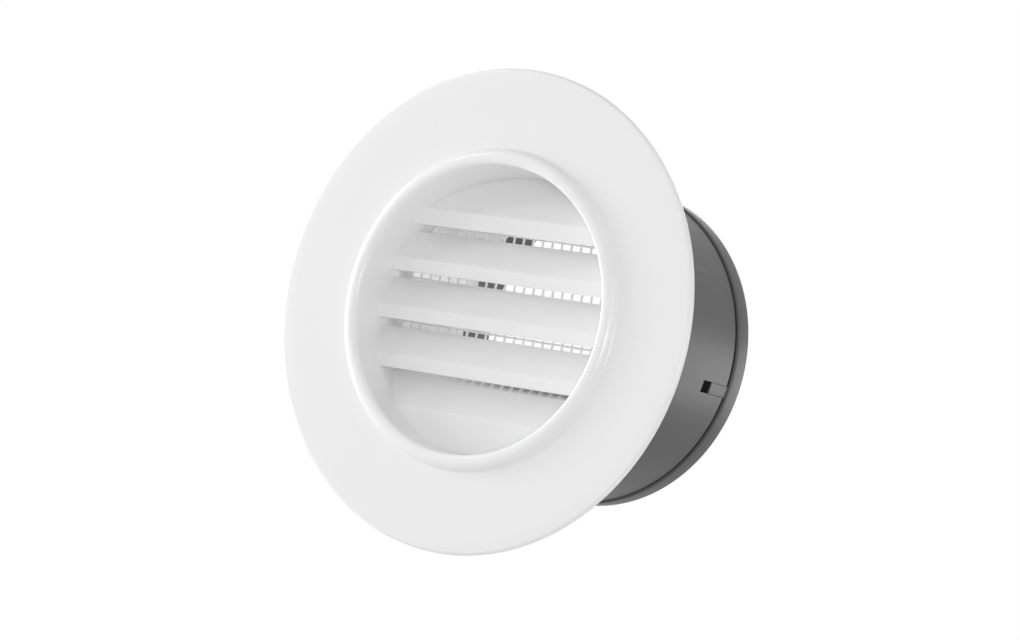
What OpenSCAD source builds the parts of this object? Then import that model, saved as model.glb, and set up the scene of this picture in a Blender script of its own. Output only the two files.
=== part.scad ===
// Round vent cover for a 100 mm duct: a white louvred front cover, an insect
// mesh, a dark duct spigot and its keyed end ring.
// The duct axis is Y. The cover faces -Y, the spigot runs into the wall along +Y,
// and +Z is up. The wall plane, which the flange's back rests on, is y = 0.

/* [Flange] */
// Outside diameter of the flange
flange_d = 144; // [130:1:170]
// Thickness of the flange, also the diameter of its rounded rim
flange_t = 2; // [1.6:0.1:2.6]
// Depth of the ring pocket in the flange's back that the spigot's front end sits in
pocket_depth = 0.5; // [0.3:0.1:0.8]

/* [Bead] */
// Height of the bead's crest above the flange's front face
bead_h = 2.2; // [1.6:0.1:3]
// Radius of the bead's inner corner, where it turns into the throat
lip_round = 1.4; // [0.8:0.1:1.6]
// Width of the flat crest between the bead's two rounds
crest_w = 0.9; // [0.4:0.1:2]
// Radius of the bead's outer shoulder
bead_round = 2.4; // [1.8:0.1:2.6]
// Radius of the hollow fillet between the bead and the flange
bead_fillet = 0.9; // [0.5:0.1:1.4]

/* [Louvre] */
// Number of louvre blades
blade_count = 5; // [4:1:6]
// Height from one blade to the next
blade_pitch = 14.65; // [13.6:0.05:15.6]
// Height of the crease of the middle blade above the duct axis
blade_shift = -1.8; // [-2.5:0.1:1]
// Wall thickness of a blade
blade_t = 1.6; // [1.2:0.1:2]
// Height of the upright nose under each blade's crease
nose_h = 3.9; // [3.5:0.1:5.5]
// Height of the top blade's nose
top_nose_h = 4.9; // [3.5:0.1:6]
// Height of the slot left open between one nose and the top of the next blade
slot_h = 1.6; // [1:0.1:3]
// The same above the bottom blade, where the blade's top is hidden behind the nose
last_slot_h = -0.2; // [-0.5:0.1:3]
// Lean of a blade's face back from upright, in degrees
blade_lean = 31; // [24:1:36]
// Setback of the noses behind the wall plane
nose_setback = 6.25; // [4:0.25:8]
// Radius of the crease between a blade's nose and its leaning face
crease_round = 1; // [0.4:0.1:1.6]
// Radius on a blade's free edges
blade_edge = 0.4; // [0.2:0.1:0.5]

/* [Throat and sleeve] */
// How much narrower in radius the throat is at the mesh than at its mouth
throat_flare = 1.1; // [0.6:0.1:1.6]
// Width of the ring shoulder that the insect mesh is seated on
seat_step = 1.3; // [1:0.1:1.8]
// Wall thickness of the cover's rear sleeve
sleeve_t = 1.8; // [1.4:0.1:2.2]
// Length of the sleeve's rear end that plugs into the end ring's skirt
sleeve_lap = 5.2; // [3:0.1:9]
// Number of small nibs that keep the mesh, and of those that keep the spigot
nib_count = 6; // [3:1:8]
// How far a nib stands out of the sleeve
nib_h = 0.7; // [0.4:0.1:0.9]
// Angle that one nib spans, in degrees
nib_span = 8; // [5:1:12]

/* [Insect mesh] */
// Distance from one upright strand to the next
mesh_pitch = 3.44; // [3:0.01:5]
// Distance from one level strand to the next
mesh_rise = 3.33; // [3:0.01:5]
// Width of a strand
strand_w = 0.6; // [0.4:0.1:1]
// Thickness of the mesh
mesh_t = 0.4; // [0.3:0.1:1.2]
// Width of the mesh's solid rim
mesh_rim = 1.6; // [1.2:0.1:2.4]
// Sideways offset of the strands from the duct axis
mesh_shift_x = -1.5; // [-1.7:0.1:1.7]
// Upward offset of the strands from the duct axis
mesh_shift_z = 1.1; // [-1.7:0.1:1.7]
// Turn of the strands about the duct axis, in degrees
mesh_turn = -0.5; // [-5:0.5:5]

/* [Spigot] */
// Outside diameter of the spigot
spigot_d = 98.2; // [96:0.1:101]
// Wall thickness of the spigot
spigot_t = 1.8; // [1.6:0.1:2.4]
// Thickness of the inward web at the spigot's front end
web_t = 2.5; // [1.5:0.1:4]
// Number of push-in ribs outside the spigot
rib_count = 4; // [3:1:6]
// Height of a rib at its front end
rib_h = 0.45; // [0.2:0.05:0.6]
// Angle that a rib spans, in degrees
rib_span = 2; // [1:0.5:4]
// Reach of the ribs behind the wall plane
rib_reach = 51.5; // [40:0.5:56]
// Length over which a rib fades out at its rear end
rib_fade = 9; // [4:0.5:20]
// Angle of the first rib above the horizontal, in degrees
rib_turn = 30; // [20:1:40]

/* [End ring] */
// Depth of the whole cover behind the wall plane
depth = 70.7; // [66:0.1:80]
// How much larger in radius the end ring's head is than the spigot
ring_proud = 0.6; // [0:0.1:1]
// Length of the end ring's head
ring_len = 6.3; // [5:0.1:9]
// Radius on the head's outer edges
ring_round = 0.6; // [0.3:0.1:0.9]
// Width of the groove between the spigot and the end ring's head
groove_w = 0.9; // [0.5:0.1:1.5]
// Wall thickness of the end ring's skirt
skirt_t = 2; // [1.6:0.1:2.6]
// Length of the end ring's skirt in front of the windows
skirt_lead = 1.5; // [1:0.1:4]
// Width of the hollow in the head's rear face
hollow_w = 1.1; // [0.6:0.1:1.4]
// Depth of the hollow in the head's rear face
hollow_depth = 4.3; // [2:0.1:4.6]
// Number of tongues, each in its own slot of the spigot
tongue_count = 4; // [2:1:6]
// Width of a tongue
tongue_w = 3.4; // [2.4:0.1:6]
// Length of a tongue in front of the ring's head
tongue_len = 9.8; // [7:0.1:11]
// Length of the open window that a slot leaves in front of its tongue
window_len = 4.7; // [2.5:0.1:5]
// Angle of the first tongue above the horizontal, in degrees
tongue_turn = -10.5; // [-20:0.5:10]

/* [Hidden] */
// Radial clearance between pieces that slide into each other
fit_gap = 0.15;
// Clearance between a seated piece and the nibs that keep it
nib_gap = 0.1;
// Overlap that joins a small feature to the wall that carries it
root = 0.3;
// How far the blades run into the throat's wall
blade_root = 0.6;
// Room between the spigot and the edge of the flange's pocket
pocket_room = 0.9;
// Front end of the ribs behind the wall plane
rib_front = 1;
// Width of a nib's flat top
nib_top = 0.6;
// Length of a nib along the duct
nib_len = 2.8;
// Margin that carries a cut past the face it starts from
margin = 1;
// Chamfer on the sleeve's rear rim
sleeve_chamfer = 0.5;

flange_r = flange_d / 2;
flange_front = -flange_t;
crest_y = flange_front - bead_h;

// Radii from the duct inwards
spigot_r = spigot_d / 2;
spigot_in = spigot_r - spigot_t;
skirt_out = spigot_in - fit_gap;
skirt_in = skirt_out - skirt_t;
sleeve_r = skirt_in - fit_gap;
sleeve_in = sleeve_r - sleeve_t;
throat_back_r = sleeve_in - seat_step;
mouth_r = throat_back_r + throat_flare;
blade_trim_r = mouth_r + blade_root;
pocket_r = spigot_r + pocket_room;

// Height of a blade's crease, with blades counted from the top one down
function crease_z(k) = blade_shift + blade_pitch * ((blade_count - 1) / 2 - k)
    + (k == 0 ? top_nose_h - nose_h : 0);
face_h = blade_pitch - nose_h - slot_h;
last_face_h = blade_pitch - nose_h - last_slot_h;
// Plane behind the blades, where the top one's back meets the throat
louvre_back = nose_setback + blade_t / cos(blade_lean)
    + tan(blade_lean) * max(throat_back_r - crease_z(0), face_h, last_face_h);

web_back = web_t - pocket_depth;
head_front = depth - ring_len;
spigot_end = head_front - groove_w;
tongue_front = head_front - tongue_len;
window_front = tongue_front - window_len;
skirt_front = window_front - skirt_lead;
sleeve_reach = skirt_front + sleeve_lap;

round_fn = 180;
arc_steps = 7;

// Points of an arc about (cx, cy), from angle a0 to a1
function arc(cx, cy, r, a0, a1) =
    [for (i = [0 : arc_steps]) let (a = a0 + (a1 - a0) * i / arc_steps)
        [cx + r * cos(a), cy + r * sin(a)]];

// Turns an outline of (radius, y) points about the duct axis
module turned(outline, from = 0, span = 360) {
    rotate([-90, 0, 0])
        rotate([0, 0, from])
            rotate_extrude(angle = span, $fn = round_fn) polygon(outline);
}

// Small ramp standing out of a wall of radius r at y, out = 1 outwards or -1 inwards
function nib_outline(r, y, out) =
    [[r - out * root, y], [r + out * nib_h, y], [r + out * nib_h, y + nib_top],
     [r - out * root, y + nib_len]];

module nibs(r, y, out) {
    for (i = [0 : nib_count - 1])
        turned(nib_outline(r, y, out), from = i * 360 / nib_count, span = nib_span);
}

// Bead: a round inner lip, a narrow flat crest, a round shoulder and a hollow
// fillet that runs out on the flange
shoulder_x = mouth_r + lip_round + crest_w;
shoulder_y = crest_y + bead_round;
fillet_dy = flange_front - bead_fillet - shoulder_y;
fillet_dx = sqrt(pow(bead_round + bead_fillet, 2) - pow(fillet_dy, 2));
fillet_turn = atan2(fillet_dy, fillet_dx);
bead_outline = concat(
    arc(mouth_r + lip_round, crest_y + lip_round, lip_round, 180, 270),
    arc(shoulder_x, shoulder_y, bead_round, -90, fillet_turn),
    arc(shoulder_x + fillet_dx, shoulder_y + fillet_dy, bead_fillet, 180 + fillet_turn, 90));

// The whole cover apart from its blades, as one turned section
cover_outline = concat(
    bead_outline,
    arc(flange_r - flange_t / 2, flange_front / 2, flange_t / 2, -90, 90),
    [[pocket_r, 0], [pocket_r, -pocket_depth], [sleeve_r, -pocket_depth],
     [sleeve_r, sleeve_reach - sleeve_chamfer], [sleeve_r - sleeve_chamfer, sleeve_reach],
     [sleeve_in, sleeve_reach], [sleeve_in, louvre_back], [throat_back_r, louvre_back]]);

// Section of one blade as (y, z) points: an upright nose down from the crease at
// z, and a face that leans back over the height given by face
function blade_outline(z, nose, face) =
    let (a = blade_lean, t = blade_t, e = blade_edge,
         up = [sin(a), cos(a)], through = [cos(a), -sin(a)],
         half = tan(a / 2),
         front_top = [nose_setback, z] + up * face / cos(a),
         back_top = front_top + through * t,
         front_end = front_top + (through - up) * e,
         back_end = back_top - (through + up) * e)
    concat(
        arc(nose_setback + t - e, z - nose + e, e, 0, -90),
        arc(nose_setback + e, z - nose + e, e, 270, 180),
        arc(nose_setback + crease_round, z - crease_round * half, crease_round, 180, 180 - a),
        arc(front_end[0], front_end[1], e, 180 - a, 90 - a),
        arc(back_end[0], back_end[1], e, 90 - a, -a),
        [[nose_setback + t, z - t * half]]);

// Top and bottom blades run on into the throat's wall
module blades() {
    intersection() {
        translate([-blade_trim_r, 0, 0])
            rotate([90, 0, 90])
                linear_extrude(2 * blade_trim_r)
                    for (k = [0 : blade_count - 1])
                        let (z = crease_z(k), top = k == 0, last = k == blade_count - 1)
                            polygon(blade_outline(z,
                                last ? z + blade_trim_r + margin : top ? top_nose_h : nose_h,
                                top ? blade_trim_r + margin - z : last ? last_face_h : face_h));
        rotate([-90, 0, 0]) cylinder(r = blade_trim_r, h = louvre_back, $fn = round_fn);
    }
}

module front_cover() {
    color("white") {
        turned(cover_outline);
        blades();
        nibs(sleeve_in, louvre_back + mesh_t + nib_gap, -1);
        nibs(sleeve_r, web_back + nib_gap, 1);
    }
}

// Point where the line from p to q crosses the circle of radius r, with one end inside it
function rim_crossing(p, q, r) =
    let (d = q - p, a = d * d, b = p * d, c = p * p - r * r,
         s = sqrt(b * b - a * c), first = (-b - s) / a)
    p + d * (first > 0 && first < 1 ? first : (-b + s) / a);

// Opening between strands about the point c: a rectangle, cut off straight at the rim
function cell_outline(c, half, r) =
    let (corners = [for (k = [[-1, -1], [1, -1], [1, 1], [-1, 1]])
                    c + [half[0] * k[0], half[1] * k[1]]])
    [for (i = [0 : 3])
        let (p = corners[i], q = corners[(i + 1) % 4], p_in = norm(p) < r, q_in = norm(q) < r)
        each concat(p_in ? [p] : [], p_in != q_in ? [rim_crossing(p, q, r)] : [])];

// Mesh in one flat piece. A cell whose middle lies under the rim stays closed.
module insect_mesh() {
    mesh_r = sleeve_in - fit_gap;
    cells_r = mesh_r - mesh_rim;
    reach = ceil(mesh_r / min(mesh_pitch, mesh_rise));
    half = [mesh_pitch - strand_w, mesh_rise - strand_w] / 2;
    color("gainsboro")
        translate([0, louvre_back + mesh_t, 0])
            rotate([90, 0, 0])
                linear_extrude(mesh_t)
                    difference() {
                        circle(mesh_r, $fn = round_fn);
                        rotate(mesh_turn)
                            for (i = [-reach : reach], j = [-reach : reach])
                                let (c = [(i + 0.5) * mesh_pitch + mesh_shift_x,
                                          (j + 0.5) * mesh_rise + mesh_shift_z])
                                    if (norm(c) < cells_r)
                                        polygon(cell_outline(c, half, cells_r));
                    }
}

spigot_outline = [
    [skirt_in, -pocket_depth], [spigot_r, -pocket_depth], [spigot_r, spigot_end],
    [spigot_in, spigot_end], [spigot_in, web_back], [skirt_in, web_back]];

// Rib on the outside of the spigot that fades out at its rear end
rib_outline = [
    [spigot_r - root, rib_front], [spigot_r + rib_h, rib_front],
    [spigot_r + rib_h, rib_reach - rib_fade], [spigot_r, rib_reach],
    [spigot_r - root, rib_reach]];

// Box of width w from the skirt's face outwards, from y0 to y1, at every tongue
module tongue_boxes(w, y0, y1) {
    for (i = [0 : tongue_count - 1])
        rotate([0, -tongue_turn - i * 360 / tongue_count, 0])
            translate([skirt_out - root, y0, -w / 2])
                cube([spigot_r - skirt_out + root + margin, y1 - y0, w]);
}

module duct_spigot() {
    color("dimgray")
        difference() {
            union() {
                turned(spigot_outline);
                for (i = [0 : rib_count - 1])
                    turned(rib_outline,
                        from = -rib_turn - rib_span / 2 - i * 360 / rib_count, span = rib_span);
            }
            tongue_boxes(tongue_w + 2 * fit_gap, window_front, spigot_end + margin);
        }
}

// Section of the end ring: a hollow head and a long skirt inside the spigot
hollow_r = skirt_out + (spigot_r - skirt_out - hollow_w) / 2;
ring_r = spigot_r + ring_proud;
ring_outline = concat(
    [[skirt_in, skirt_front], [skirt_out, skirt_front], [skirt_out, head_front]],
    arc(ring_r - ring_round, head_front + ring_round, ring_round, -90, 0),
    arc(ring_r - ring_round, depth - ring_round, ring_round, 0, 90),
    [[hollow_r + hollow_w, depth], [hollow_r + hollow_w, depth - hollow_depth],
     [hollow_r, depth - hollow_depth], [hollow_r, depth], [skirt_in, depth]]);

module end_ring() {
    color("dimgray") {
        turned(ring_outline);
        intersection() {
            tongue_boxes(tongue_w, tongue_front, head_front + root);
            rotate([-90, 0, 0]) cylinder(r = spigot_r, h = depth, $fn = round_fn);
        }
    }
}

front_cover();
insect_mesh();
duct_spigot();
end_ring();
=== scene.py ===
"""Round vent cover for a 100 mm duct.

The white front moulding with its rain blades, the insect mesh, the dark duct spigot and its end
ring are made here as smooth surfaces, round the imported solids. Lengths in this script are in
millimetres, and piece() turns them into metres. The duct axis is Y, the front faces -Y, +Z is up.
"""
import math

import bmesh
import bpy
import numpy as np
from mathutils import Matrix, Vector


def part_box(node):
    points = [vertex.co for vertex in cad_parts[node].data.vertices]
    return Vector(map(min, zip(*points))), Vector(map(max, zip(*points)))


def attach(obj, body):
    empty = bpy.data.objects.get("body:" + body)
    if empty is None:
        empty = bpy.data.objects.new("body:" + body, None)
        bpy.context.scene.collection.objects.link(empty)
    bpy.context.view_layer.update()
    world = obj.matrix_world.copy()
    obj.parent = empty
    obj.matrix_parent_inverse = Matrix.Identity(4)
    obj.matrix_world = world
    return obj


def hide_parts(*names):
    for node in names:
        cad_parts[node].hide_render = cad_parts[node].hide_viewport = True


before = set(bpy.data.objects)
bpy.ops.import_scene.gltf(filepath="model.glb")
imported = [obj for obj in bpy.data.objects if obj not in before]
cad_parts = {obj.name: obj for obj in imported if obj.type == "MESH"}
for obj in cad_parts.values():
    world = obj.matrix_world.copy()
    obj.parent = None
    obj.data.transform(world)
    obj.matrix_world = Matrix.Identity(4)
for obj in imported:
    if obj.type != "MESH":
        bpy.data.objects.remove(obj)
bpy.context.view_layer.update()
MM = 0.001


def corners_of(node):
    """Lowest and highest corner of a CAD node, in millimetres."""
    return [np.array(corner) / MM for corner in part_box(node)]


# What the frame gives
cover_low, cover_high = corners_of("front_cover")
mesh_low, mesh_high = corners_of("insect_mesh")
spigot_high = corners_of("duct_spigot")[1]
ring_low, ring_high = corners_of("end_ring")
FLANGE_R = cover_high[0]
CREST_Y = cover_low[1]
SLEEVE_END = cover_high[1]
LOUVRE_BACK = mesh_low[1]
RING_R = ring_high[0]
DEPTH = ring_high[1]
SKIRT_FRONT = ring_low[1]
SPIGOT_END = spigot_high[1]
SPIGOT_R = spigot_high[0]

# Front moulding
FLANGE_T = 2.0
POCKET_R, POCKET_DEPTH = 50.0, 0.5
SLEEVE_R, SLEEVE_IN = 45.0, 43.2
THROAT_BACK_R, MOUTH_R = 41.9, 43.0
LIP_ROUND, CREST_W, SHOULDER_ROUND, FOOT_ROUND = 1.4, 0.9, 2.4, 0.9
SLEEVE_ROUND_OUT, SLEEVE_ROUND_IN = 0.5, 0.3
NIB_COUNT, NIB_SPAN, NIB_H, NIB_TOP, NIB_LEN, NIB_GAP = 6, 8.0, 0.7, 0.6, 2.8, 0.1

# Rain blades
BLADE_COUNT, BLADE_PITCH, BLADE_SHIFT = 5, 14.65, -1.8
BLADE_T, BLADE_LEAN = 1.6, 31.0
NOSE_H, TOP_NOSE_H, SLOT_H, LAST_SLOT_H = 3.9, 4.9, 1.6, -0.8
NOSE_SETBACK, CREASE_ROUND, BLADE_EDGE = 6.25, 1.0, 0.4
BLADE_ROOT, LEAST_HALF_WIDTH = 0.6, 2.0

# Painted shade on the bottom blade, behind the nose above it: a dark band in a row of cells at about
# the mesh's pitch, in place of the deep shadowed gap there
CELLS_BELOW, CELLS_ABOVE, CELLS_FADE = 1.6, 2.0, 1.3
CELLS_BEHIND, CELLS_DEPTH, CELLS_TO_WALL = 0.5, 0.7, 0.2
CELLS_LEFT, CELLS_RUN = -22.0, 28.0
CELL_PLACE, CELL_PITCH, CELL_SHARE, BAR_DARKNESS = -2.98, 3.47, 0.62, 0.4

# Spigot and end ring
SPIGOT_IN, SKIRT_OUT, SKIRT_IN = 47.3, 47.15, 45.15
WEB_T = 2.5
RIB_COUNT, RIB_H, RIB_SPAN, RIB_REACH, RIB_FADE, RIB_TURN = 4, 0.45, 2.0, 51.5, 9.0, 30.0
RIB_FRONT, RIB_EASE = 1.0, 0.3
RING_LEN, RING_ROUND, HOLLOW_W, HOLLOW_DEPTH = 6.3, 0.6, 1.1, 4.3
TONGUE_COUNT, TONGUE_W, TONGUE_LEN, WINDOW_LEN, TONGUE_TURN = 4, 3.4, 9.8, 4.7, -10.5
TONGUE_ROUND, TONGUE_ROOT_ROUND = 0.3, 0.1
FIT_GAP = 0.15
TONGUE_GAP = 0.03
RECESS_LOW, RECESS_HIGH, RECESS_PAST = 46.2, 48.8, 0.05

# How finely round shapes are divided
AROUND = 720
ACROSS_BLADE = 49
EDGE_ROUND, SCREEN_ROUND = 0.15, 0.15
SHARP_FROM = math.radians(32)


# Outlines

def lengths(vectors):
    """Length of each vector, kept as a column."""
    return np.linalg.norm(vectors, axis=-1, keepdims=True)


def rounded(corners, steps=6):
    """Closed outline of (x, y, radius) corners. Each corner becomes an arc that touches both its
    sides, at radius / tan(half angle) from the corner, about a centre on the bisector."""
    corners = np.array(corners, float)
    point, radius = corners[:, :2], corners[:, 2:]
    back = np.roll(point, 1, 0) - point
    ahead = np.roll(point, -1, 0) - point
    back, ahead = back / lengths(back), ahead / lengths(ahead)
    half = np.arccos(np.clip((back * ahead).sum(1, keepdims=True), -1, 1)) / 2
    bisector = (back + ahead) / lengths(back + ahead)
    centre = point + bisector * radius / np.sin(half)
    first = point + back * radius / np.tan(half) - centre
    last = point + ahead * radius / np.tan(half) - centre
    turn = (math.pi - 2 * half)[:, :, None]
    share = np.linspace(0, 1, steps + 1)[None, :, None]
    arcs = (first[:, None] * np.sin((1 - share) * turn) + last[:, None] * np.sin(share * turn))
    return (centre[:, None] + arcs / np.sin(turn)).reshape(-1, 2)


def dense(outline, step):
    """The closed outline with points added so that no side is longer than step."""
    side = np.roll(outline, -1, 0) - outline
    counts = np.maximum(np.ceil(lengths(side)[:, 0] / step), 1).astype(int)
    index = np.repeat(np.arange(len(outline)), counts)
    share = (np.arange(counts.sum()) - np.repeat(np.cumsum(counts) - counts, counts)) / counts[index]
    return outline[index] + side[index] * share[:, None]


def split_at(outline, y):
    """The closed outline with a point added wherever it crosses y."""
    side = np.roll(outline, -1, 0) - outline
    share = (y - outline[:, 1]) / np.where(side[:, 1] == 0, np.inf, side[:, 1])
    crossed = np.flatnonzero((share > 0) & (share < 1))
    return np.insert(outline, crossed + 1, (outline + side * share[:, None])[crossed], axis=0)


# Surfaces

def grid(points, wraps=True, caps=False):
    """Vertices and faces of a grid of points, rows by columns. Each row is a closed outline. The
    rows close on each other when wraps is set, or the first and last are filled when caps is."""
    rows, columns = points.shape[:2]
    index = np.arange(rows * columns).reshape(rows, columns)
    here = index if wraps else index[:-1]
    after = np.roll(index, -1, 0) if wraps else index[1:]
    quads = np.stack([here, after, np.roll(after, -1, 1), np.roll(here, -1, 1)], -1)
    faces = quads.reshape(-1, 4).tolist()
    if caps:
        faces += [index[0].tolist(), index[-1][::-1].tolist()]
    return points.reshape(-1, 3), faces


def turned(outline, start=0.0, span=360.0, count=AROUND):
    """An outline of (radius, y) points turned about the duct axis: x = r cos a, z = r sin a."""
    whole = span == 360.0
    angle = np.radians(start + np.linspace(0, span, count + 1)[:count + (not whole)])[:, None]
    radius, y = outline[None, :, 0], outline[None, :, 1] + 0 * angle
    points = np.stack([radius * np.cos(angle), y, radius * np.sin(angle)], -1)
    return grid(points, wraps=whole, caps=not whole)


def piece(name, shells, finish, stands_for):
    """One visible piece from a list of shells, each its vertices in millimetres and its faces."""
    starts = np.cumsum([0] + [len(v) for v, _ in shells])
    vertices = np.concatenate([v for v, _ in shells]) * MM
    faces = [[i + start for i in face] for start, (_, f) in zip(starts, shells) for face in f]
    mesh = bpy.data.meshes.new(name)
    mesh.from_pydata(vertices.tolist(), [], faces)
    work = bmesh.new()
    work.from_mesh(mesh)
    bmesh.ops.remove_doubles(work, verts=work.verts, dist=1e-8)
    bmesh.ops.dissolve_degenerate(work, edges=work.edges, dist=1e-8)
    bmesh.ops.recalc_face_normals(work, faces=work.faces)
    work.to_mesh(mesh)
    work.free()
    return shown(bpy.data.objects.new(name, mesh), finish, stands_for)


def shown(made, finish, stands_for):
    """Links an object into the scene with its finish, on the frame's body."""
    bpy.context.scene.collection.objects.link(made)
    made.data.materials.clear()
    made.data.materials.append(finish)
    made.data.shade_smooth()
    made.data.set_sharp_from_angle(angle=SHARP_FROM)
    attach(made, "root")
    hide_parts(stands_for)
    return made


# Materials

class Wire:
    """A shader socket that takes part in arithmetic. Each operator adds its Math node."""

    def __init__(self, finish, socket):
        self.finish, self.socket = finish, socket

    def math(self, operation, first, second):
        return self.finish.add("ShaderNodeMath", {"operation": operation}, {0: first, 1: second})

    def __add__(self, other):
        return self.math("ADD", self, other)

    def __sub__(self, other):
        return self.math("SUBTRACT", self, other)

    def __rsub__(self, other):
        return self.math("SUBTRACT", other, self)

    def __gt__(self, other):
        return self.math("GREATER_THAN", self, other)

    def __lt__(self, other):
        return self.math("LESS_THAN", self, other)

    def __mul__(self, other):
        return self.math("MULTIPLY", self, other)

    __radd__, __rmul__ = __add__, __mul__


class Finish:
    """The nodes of one material. add() makes a node from its type, its settings and the values
    or links of its inputs, and gives one of its outputs."""

    def __init__(self, owner):
        owner.use_nodes = True
        self.owner, self.tree = owner, owner.node_tree
        self.tree.nodes.clear()

    def add(self, kind, settings=None, inputs=None, output=0):
        node = self.tree.nodes.new(kind)
        for key, value in (settings or {}).items():
            setattr(node, key, value)
        for key, value in (inputs or {}).items():
            if isinstance(value, Wire):
                self.tree.links.new(value.socket, node.inputs[key])
            else:
                node.inputs[key].default_value = value
        return Wire(self, node.outputs[output]) if node.outputs else None

    def noise(self, scale, detail):
        """Noise in the piece's own space, with scale in cells per metre."""
        place = self.add("ShaderNodeTexCoord", output="Object")
        return self.add("ShaderNodeTexNoise", {},
                        {"Vector": place, "Scale": scale, "Detail": detail})

    def place(self):
        """x, y and z in the piece's own space, in metres."""
        apart = {"Vector": self.add("ShaderNodeTexCoord", output="Object")}
        return [self.add("ShaderNodeSeparateXYZ", {}, apart, output=i) for i in range(3)]

    def blend(self, share, first, second):
        """Colour from the first to the second as share goes from 0 to 1."""
        ends = [end if isinstance(end, Wire) else (*end, 1) for end in (first, second)]
        return self.add("ShaderNodeMix", {"data_type": "RGBA"},
                        {0: share, 6: ends[0], 7: ends[1]}, output=2)

    def relief(self, height, depth, strength):
        """Normal of a surface that stands out by depth, in metres, where height is 1."""
        return self.add("ShaderNodeBump", {},
                        {"Height": height, "Distance": depth, "Strength": strength})

    def surface(self, kind, settings):
        """Sets the material's surface to a shader of that kind."""
        shader = self.add(kind, {}, settings)
        self.add("ShaderNodeOutputMaterial", {}, {"Surface": shader})
        return self.owner


def with_painted_gap_shade(finish, plain):
    """The plain colour with painted shade on the bottom blade's face where it ends behind the nose
    above it, in place of that deep gap's shadow. The painted shade grows upwards and to the right,
    in a row of cells at about the mesh's pitch."""
    x, y, z = finish.place()
    bottom = BLADE_SHIFT - BLADE_PITCH * (BLADE_COUNT - 1) / 2
    joint = bottom + BLADE_PITCH - NOSE_H
    face_y = (z - bottom * MM) * math.tan(math.radians(BLADE_LEAN)) + NOSE_SETBACK * MM
    rise = (z - (joint - CELLS_BELOW) * MM) * (1 / (CELLS_FADE * MM))
    upper = rise * (z < (joint + CELLS_ABOVE) * MM)
    behind = (y > (NOSE_SETBACK + BLADE_T + CELLS_BEHIND) * MM) * (y < face_y + CELLS_DEPTH * MM)
    inside = x * x + z * z < ((THROAT_BACK_R - CELLS_TO_WALL) * MM) ** 2
    turn = finish.add("ShaderNodeMath", {"operation": "FRACT"},
                      {0: (x - CELL_PLACE * MM) * (1 / (CELL_PITCH * MM))})
    cells = BAR_DARKNESS + (1 - BAR_DARKNESS) * (turn < CELL_SHARE)
    shade = behind * inside * (x - CELLS_LEFT * MM) * (1 / (CELLS_RUN * MM)) * cells
    # Painted shade: the colour goes to dark grey in the gap behind the nose, in cells at the mesh's
    # pitch
    return finish.blend(upper, plain, finish.blend(shade, plain, (0.26, 0.26, 0.26)))


def white_moulding():
    """Gloss white plastic: a faint orange peel, a fine grain in its colour and its gloss, and
    painted shade in the gap behind the lowest nose.
    """
    finish = Finish(bpy.data.materials.new("white_moulding"))
    grain = finish.noise(scale=1400, detail=2)
    peel = finish.noise(scale=260, detail=1)
    plain = finish.blend(grain, (0.836, 0.836, 0.836), (0.848, 0.848, 0.848))
    return finish.surface("ShaderNodeBsdfPrincipled", {
        "Base Color": with_painted_gap_shade(finish, plain),
        "Roughness": 0.27 + grain * 0.06,
        "Normal": finish.relief(peel, depth=0.00001, strength=0.3),
        "Coat Weight": 0.35,
        "Coat Roughness": 0.17,
    })


def mesh_moulding():
    """Off-white plastic of the insect mesh, a little duller than the front."""
    finish = Finish(bpy.data.materials.new("mesh_moulding"))
    clouds = finish.noise(scale=60, detail=2)
    grain = finish.noise(scale=1500, detail=1)
    return finish.surface("ShaderNodeBsdfPrincipled", {
        "Base Color": finish.blend(clouds, (0.84, 0.84, 0.84), (0.87, 0.87, 0.87)),
        "Roughness": 0.42 + clouds * 0.1,
        "Subsurface Weight": 0.7,
        "Subsurface Radius": (1, 1, 1),
        "Subsurface Scale": 0.0006,
        "Normal": finish.relief(grain, depth=0.00002, strength=0.4),
    })


def grey_moulding():
    """Satin dark grey plastic with a fine spark-eroded grain and soft clouds in its gloss. Between
    the spigot's inside and the skirt's outside, which the slots lay open, it carries painted shade:
    its colour there is near black."""
    finish = Finish(bpy.data.materials.new("grey_moulding"))
    clouds = finish.noise(scale=40, detail=3)
    grain = finish.noise(scale=2600, detail=2)
    x, y, z = finish.place()
    r_squared = x * x + z * z
    # Painted shade: the recess between the spigot and the skirt is coloured near black
    recess_shade = ((r_squared > (RECESS_LOW * MM) ** 2) * (r_squared < (RECESS_HIGH * MM) ** 2)
              * (y < (DEPTH - RING_LEN + RECESS_PAST) * MM))
    open_face = finish.blend(clouds, (0.060, 0.060, 0.062), (0.068, 0.068, 0.070))
    return finish.surface("ShaderNodeBsdfPrincipled", {
        "Base Color": finish.blend(recess_shade, open_face, (0.012, 0.012, 0.012)),
        "Roughness": 0.38 + clouds * 0.08,
        "Normal": finish.relief(grain, depth=0.00003, strength=0.4),
    })


# Pieces

def bead_corners():
    """Crest and foot corners of the bead's outer side, as (radius, y, rounding). The shoulder's
    arc and the hollow foot's arc touch each other, and the side's line is their common tangent."""
    shoulder = np.array([MOUTH_R + LIP_ROUND + CREST_W, CREST_Y + SHOULDER_ROUND])
    reach = SHOULDER_ROUND + FOOT_ROUND
    rise = -FLANGE_T - FOOT_ROUND - shoulder[1]
    away = np.array([math.sqrt(reach ** 2 - rise ** 2), rise]) / reach
    touch = shoulder + away * SHOULDER_ROUND
    along = np.array([-away[1], away[0]])
    crest = touch + along * (CREST_Y - touch[1]) / along[1]
    foot = touch + along * (-FLANGE_T - touch[1]) / along[1]
    return [(*crest, SHOULDER_ROUND), (*foot, FOOT_ROUND)]


def throat_r(y):
    """Radius of the tapered throat at y."""
    share = (y - CREST_Y) / (LOUVRE_BACK - CREST_Y)
    return MOUTH_R + (THROAT_BACK_R - MOUTH_R) * share


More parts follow.
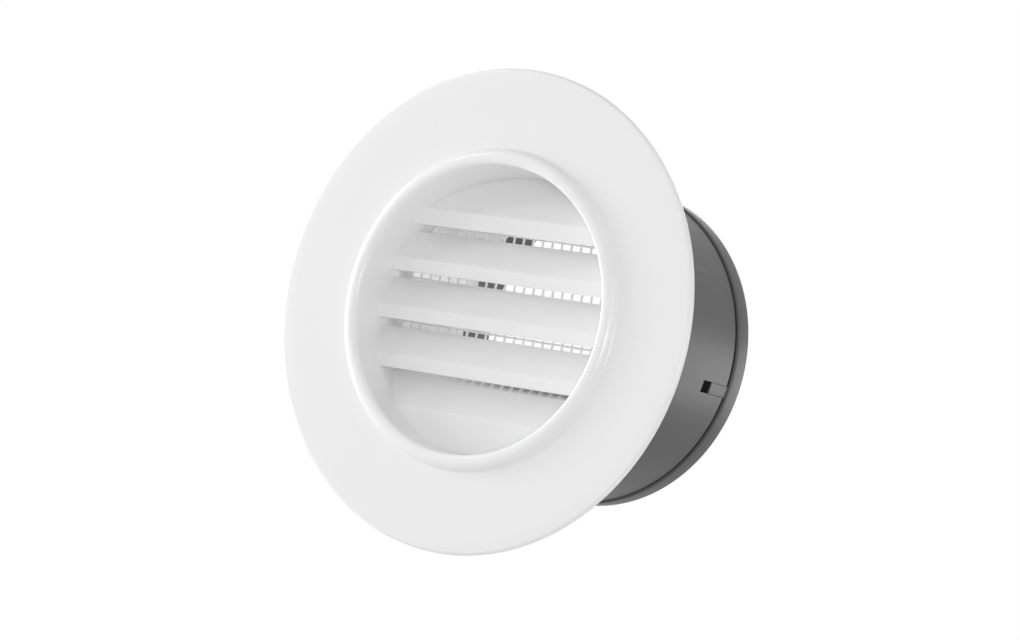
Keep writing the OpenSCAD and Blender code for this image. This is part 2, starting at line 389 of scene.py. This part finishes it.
def cover_shell():
    """Flange, bead, throat and sleeve as one turned section. The rim's two arcs take up all but a
    hair of the flange's thickness."""
    rim = FLANGE_T / 2 - 0.001
    outline = rounded([
        (MOUTH_R, CREST_Y, LIP_ROUND), *bead_corners(),
        (FLANGE_R, -FLANGE_T, rim), (FLANGE_R, 0, rim),
        (POCKET_R, 0, EDGE_ROUND), (POCKET_R, -POCKET_DEPTH, EDGE_ROUND),
        (SLEEVE_R, -POCKET_DEPTH, EDGE_ROUND), (SLEEVE_R, SLEEVE_END, SLEEVE_ROUND_OUT),
        (SLEEVE_IN, SLEEVE_END, SLEEVE_ROUND_IN), (SLEEVE_IN, LOUVRE_BACK, EDGE_ROUND),
        (THROAT_BACK_R, LOUVRE_BACK, EDGE_ROUND)])
    return turned(dense(outline, 5))


def blade_shell(number):
    """One rain blade: its (y, z) section carried across the throat. A point of the section runs
    from wall to wall, over half-widths of sqrt(r * r - z * z), and a little way into the wall."""
    lean = math.radians(BLADE_LEAN)
    along = np.array([math.sin(lean), math.cos(lean)])
    through = np.array([math.cos(lean), -math.sin(lean)])
    top, bottom = number == 0, number == BLADE_COUNT - 1
    crease_z = BLADE_SHIFT + BLADE_PITCH * ((BLADE_COUNT - 1) / 2 - number)
    crease_z += TOP_NOSE_H - NOSE_H if top else 0
    crease = np.array([NOSE_SETBACK, crease_z])
    face = (BLADE_PITCH - NOSE_H - (LAST_SLOT_H if bottom else SLOT_H)) / along[1]
    wall = THROAT_BACK_R + BLADE_ROOT
    if top:
        face = (wall - crease_z) / along[1]
    face_end = crease + along * face
    back_end = face_end + through * BLADE_T
    if top:
        back_end = back_end + along * (wall - back_end[1]) / along[1]
    inner_crease = crease + np.array([BLADE_T, -BLADE_T * math.tan(lean / 2)])
    nose_z = -wall if bottom else crease_z - (TOP_NOSE_H if top else NOSE_H)
    section = rounded([
        (NOSE_SETBACK + BLADE_T, nose_z, BLADE_EDGE), (NOSE_SETBACK, nose_z, BLADE_EDGE),
        (*crease, CREASE_ROUND), (*face_end, BLADE_EDGE), (*back_end, BLADE_EDGE),
        (*inner_crease, CREASE_ROUND)])
    section = dense(section, 0.5)
    y, z = section[None, :, 0], section[None, :, 1]
    reach = throat_r(y) + BLADE_ROOT / 2
    half = np.sqrt(np.maximum(reach ** 2 - z ** 2, LEAST_HALF_WIDTH ** 2))
    across = np.linspace(-1, 1, ACROSS_BLADE)[:, None]
    points = np.stack([half * across, y + 0 * across, z + 0 * across], -1)
    return grid(points, wraps=False, caps=True)


def nib_shells(radius, y, out):
    """Small ramps that stand out of a wall of that radius, inwards or outwards."""
    outline = np.array([
        (radius - out * BLADE_ROOT / 2, y), (radius + out * NIB_H, y),
        (radius + out * NIB_H, y + NIB_TOP), (radius - out * BLADE_ROOT / 2, y + NIB_LEN)])
    return [turned(outline, start=-i * 360 / NIB_COUNT - NIB_SPAN, span=NIB_SPAN, count=16)
            for i in range(NIB_COUNT)]


def softened(node, name, width, finish):
    """A copy of a CAD node's solid with every edge eased by width."""
    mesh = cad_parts[node].data.copy()
    mesh.name = name
    work = bmesh.new()
    work.from_mesh(mesh)
    bmesh.ops.remove_doubles(work, verts=work.verts, dist=1e-6)
    bmesh.ops.dissolve_limit(work, angle_limit=math.radians(0.5), verts=work.verts, edges=work.edges)
    work.to_mesh(mesh)
    work.free()
    made = shown(bpy.data.objects.new(name, mesh), finish, node)
    ease = made.modifiers.new("eased_edges", "BEVEL")
    ease.width = width * MM
    ease.segments = 2
    ease.limit_method = "ANGLE"
    ease.angle_limit = math.radians(40)
    ease.harden_normals = True
    return made


def angles_with_slots():
    """Angles round the spigot, in degrees, and whether each lies in a slot. A slot's edges come
    twice, once outside and once inside it, so that its side walls stand upright."""
    half = math.degrees((TONGUE_W / 2 + FIT_GAP) / SPIGOT_R)
    centres = TONGUE_TURN + np.arange(TONGUE_COUNT) * 360 / TONGUE_COUNT
    edges = np.sort(np.concatenate([centres - half, centres + half]))
    plain = np.linspace(edges[0], edges[0] + 360, AROUND, endpoint=False)[1:]
    plain = plain[np.abs(plain[:, None] - edges[None, :]).min(1) > 0.1]
    angle = np.concatenate([plain, edges, edges])
    order = np.argsort(angle, kind="stable")
    angle = angle[order]
    nearest = (angle[:, None] - centres[None, :] + 180) % 360 - 180
    inside = np.abs(nearest).min(1) < half - 1e-6
    edge = np.abs(np.abs(nearest).min(1) - half) < 1e-6
    rising = np.flatnonzero(edge)[0::2]
    for k, i in enumerate(rising):
        inside[i], inside[i + 1] = (False, True) if k % 2 == 0 else (True, False)
    return angle, inside


def spigot_shell():
    """The tube round the sleeve: an outline of (radius, y) that ends short where a slot is cut,
    with low ribs that fade out towards the rear."""
    window_front = DEPTH - RING_LEN - TONGUE_LEN - WINDOW_LEN
    web_back = WEB_T - POCKET_DEPTH
    outline = split_at(dense(rounded([
        (SKIRT_IN, -POCKET_DEPTH, EDGE_ROUND), (SPIGOT_R, -POCKET_DEPTH, EDGE_ROUND),
        (SPIGOT_R, SPIGOT_END, EDGE_ROUND), (SPIGOT_IN, SPIGOT_END, EDGE_ROUND),
        (SPIGOT_IN, web_back, EDGE_ROUND), (SKIRT_IN, web_back, EDGE_ROUND)], steps=4), 1.5),
        window_front)
    angle, inside = angles_with_slots()
    y = np.where(inside[:, None], np.minimum(outline[None, :, 1], window_front), outline[None, :, 1])
    turn = (angle - RIB_TURN + 180 / RIB_COUNT) % (360 / RIB_COUNT) - 180 / RIB_COUNT
    crown = np.clip(1 + RIB_EASE - np.abs(turn) / (RIB_SPAN / 2), 0, RIB_EASE)[:, None] / RIB_EASE
    fade = np.clip((RIB_REACH - y) / RIB_FADE, 0, 1) * (y > RIB_FRONT)
    rib = RIB_H * crown * fade * (outline[None, :, 0] > SPIGOT_R - 0.01)
    radius = outline[None, :, 0] + rib
    a = np.radians(angle)[:, None]
    return grid(np.stack([radius * np.cos(a), y, radius * np.sin(a)], -1))


def ring_shell():
    """The end ring: a head with a hollow in its rear face, and a long skirt in front of it."""
    head_front = DEPTH - RING_LEN
    hollow_r = SKIRT_OUT + (SPIGOT_R - SKIRT_OUT - HOLLOW_W) / 2
    outline = rounded([
        (SKIRT_IN, SKIRT_FRONT, EDGE_ROUND), (SKIRT_OUT, SKIRT_FRONT, EDGE_ROUND),
        (SKIRT_OUT, head_front, EDGE_ROUND), (RING_R, head_front, RING_ROUND),
        (RING_R, DEPTH, RING_ROUND), (hollow_r + HOLLOW_W, DEPTH, EDGE_ROUND),
        (hollow_r + HOLLOW_W, DEPTH - HOLLOW_DEPTH, EDGE_ROUND),
        (hollow_r, DEPTH - HOLLOW_DEPTH, EDGE_ROUND), (hollow_r, DEPTH, EDGE_ROUND),
        (SKIRT_IN, DEPTH, EDGE_ROUND)])
    return turned(dense(outline, 4))


def tongue_shell(number):
    """One tongue of the end ring, a short bar bent to the spigot's radius: a rounded (u, y)
    outline at depth r, where u runs round the spigot. It is drawn from the skirt to the outer
    face, over an eased edge, and then inwards along that face, which stays at radius r."""
    head_front = DEPTH - RING_LEN
    half = TONGUE_W / 2 + FIT_GAP - TONGUE_GAP
    front, back = head_front - TONGUE_LEN, head_front + BLADE_ROOT / 2
    plan = dense(rounded([
        (-half, front, TONGUE_ROUND), (half, front, TONGUE_ROUND),
        (half, back, TONGUE_ROOT_ROUND), (-half, back, TONGUE_ROOT_ROUND)]), 0.5)
    inset = np.array([0, 0, 0.05, EDGE_ROUND, 0.3, 0.7, 1.1, 1.5])[:, None]
    level = np.full_like(inset, SPIGOT_R)
    level[:3, 0] = SKIRT_OUT - 0.3, SPIGOT_R - EDGE_ROUND, SPIGOT_R - 0.05
    middle = plan.mean(0)
    u = plan[None, :, 0] * (1 - inset / half)
    y = middle[1] + (plan[None, :, 1] - middle[1]) * (1 - inset / (TONGUE_LEN / 2))
    out = np.sqrt(level ** 2 - u ** 2)
    a = math.radians(TONGUE_TURN + number * 360 / TONGUE_COUNT)
    x = out * math.cos(a) - u * math.sin(a)
    z = out * math.sin(a) + u * math.cos(a)
    return grid(np.stack([x, y, z], -1), wraps=False, caps=True)


white, pale, grey = white_moulding(), mesh_moulding(), grey_moulding()
piece("cover_moulding", [cover_shell()], white, "front_cover")
piece("rain_blades", [blade_shell(i) for i in range(BLADE_COUNT)], white,
      "front_cover")
piece("mesh_nibs", nib_shells(SLEEVE_IN, mesh_high[1] + NIB_GAP, -1), white,
      "front_cover")
softened("insect_mesh", "insect_screen", SCREEN_ROUND, pale)
piece("spigot_tube", [spigot_shell()], grey, "duct_spigot")
piece("ring_body", [ring_shell()] + [tongue_shell(i) for i in range(TONGUE_COUNT)], grey,
      "end_ring")


# Stage

CAMERA_PLACE = (0.54846, -0.78112, -0.06085)
CAMERA_AZIMUTH, CAMERA_ELEVATION, CAMERA_ROLL = 34.564, -3.572, 10.793
CAMERA_LENS = 115.5
FLOOR_Z, FLOOR_HALF, FLOOR_TONE, FLOOR_MIRRORED = -0.14, 6.0, 0.86, 0.4
LAMPS_ON_FLOOR, LAMPS_FADE = 0.31, 0.8
AMBIENT = 0.5


def camera():
    """The photograph's camera. Its axis lies at the azimuth and elevation, and it is rolled
    clockwise about that axis, which shows the part turned."""
    a, e, r = (math.radians(v) for v in (CAMERA_AZIMUTH, CAMERA_ELEVATION, CAMERA_ROLL))
    right = Vector((math.cos(a), math.sin(a), 0))
    back = Vector((math.sin(a) * math.cos(e), -math.cos(a) * math.cos(e), math.sin(e)))
    down = -back.cross(right)
    across = right * math.cos(r) - down * math.sin(r)
    up = -(right * math.sin(r) + down * math.cos(r))
    data = bpy.data.cameras.new("camera")
    data.lens, data.sensor_width = CAMERA_LENS, 36
    data.clip_start, data.clip_end = 0.05, 20
    made = bpy.data.objects.new("camera", data)
    made.matrix_world = Matrix((across, up, back)).transposed().to_4x4()
    made.location = CAMERA_PLACE
    bpy.context.scene.collection.objects.link(made)
    bpy.context.scene.camera = made


def soft_box(name, azimuth, elevation, distance, width, height, watts):
    """A rectangular lamp that faces the part from that direction, in degrees and metres."""
    data = bpy.data.lights.new(name, "AREA")
    data.shape, data.size, data.size_y, data.energy = "RECTANGLE", width, height, watts
    made = bpy.data.objects.new(name, data)
    a, e = math.radians(azimuth), math.radians(elevation)
    away = Vector((math.sin(a) * math.cos(e), -math.cos(a) * math.cos(e), math.sin(e)))
    made.location = away * distance
    made.rotation_mode = "QUATERNION"
    made.rotation_quaternion = away.to_track_quat("Z", "Y")
    bpy.context.scene.collection.objects.link(made)


def surroundings():
    """A white background for the camera and for reflections, and a plain soft light for the rest."""
    world = bpy.data.worlds.new("surroundings")
    bpy.context.scene.world = world
    finish = Finish(world)
    path = {kind: finish.add("ShaderNodeLightPath", output=kind)
            for kind in ("Is Camera Ray", "Is Glossy Ray", "Is Transmission Ray")}
    seen = path["Is Camera Ray"] + path["Is Glossy Ray"] + path["Is Transmission Ray"]
    shader = finish.add("ShaderNodeBackground", {},
                        {"Color": (1, 1, 1, 1), "Strength": AMBIENT + seen * (1 - AMBIENT)})
    finish.add("ShaderNodeOutputWorld", {}, {"Surface": shader})


def floor():
    """A pale matt floor. The camera sees it as white where no shadow falls on it: its own glow adds
    what the lamps and the surroundings leave out, so it is weaker near the part."""
    half = FLOOR_HALF
    mesh = bpy.data.meshes.new("floor")
    mesh.from_pydata([(-half, -half, FLOOR_Z), (half, -half, FLOOR_Z), (half, half, FLOOR_Z),
                      (-half, half, FLOOR_Z)], [], [(0, 1, 2, 3)])
    finish = Finish(bpy.data.materials.new("floor_paint"))
    seen = finish.add("ShaderNodeLightPath", output="Is Camera Ray")
    mirrored = finish.add("ShaderNodeLightPath", output="Is Glossy Ray")
    x, y = finish.place()[:2]
    near = finish.add("ShaderNodeMath", {"operation": "MAXIMUM"},
                      {0: 1 - (x * x + y * y) * (1 / LAMPS_FADE), 1: 0.0})
    glow = 1 - FLOOR_TONE * AMBIENT - near * LAMPS_ON_FLOOR
    mesh.materials.append(finish.surface("ShaderNodeBsdfPrincipled", {
        "Base Color": (FLOOR_TONE, FLOOR_TONE, FLOOR_TONE, 1), "Roughness": 0.9,
        "Specular IOR Level": 0.0, "Emission Color": (1, 1, 1, 1),
        "Emission Strength": (seen + mirrored * FLOOR_MIRRORED) * glow}))
    made = bpy.data.objects.new("floor", mesh)
    bpy.context.scene.collection.objects.link(made)


camera()
surroundings()
floor()
soft_box("camera_box", azimuth=34, elevation=-3, distance=1.2, width=0.2, height=0.2, watts=2.95)
soft_box("edge_box", azimuth=-80, elevation=6, distance=1.2, width=0.25, height=0.45, watts=7.6)
soft_box("left_box", azimuth=-65, elevation=5, distance=1.2, width=0.2, height=0.3, watts=1.8)
soft_box("upper_box", azimuth=-46, elevation=27, distance=1.2, width=0.16, height=0.16, watts=0.8)
soft_box("near_box", azimuth=62, elevation=5, distance=0.35, width=0.2, height=0.2, watts=0.09)
soft_box("rear_box", azimuth=-150, elevation=8, distance=1.2, width=0.6, height=0.6, watts=6.0)
soft_box("band_box", azimuth=150, elevation=-3, distance=0.6, width=0.1, height=0.22, watts=0.45)
soft_box("top_box", azimuth=75, elevation=62, distance=1.2, width=0.6, height=0.6, watts=0.9)

bpy.context.scene.view_settings.view_transform = "Standard"
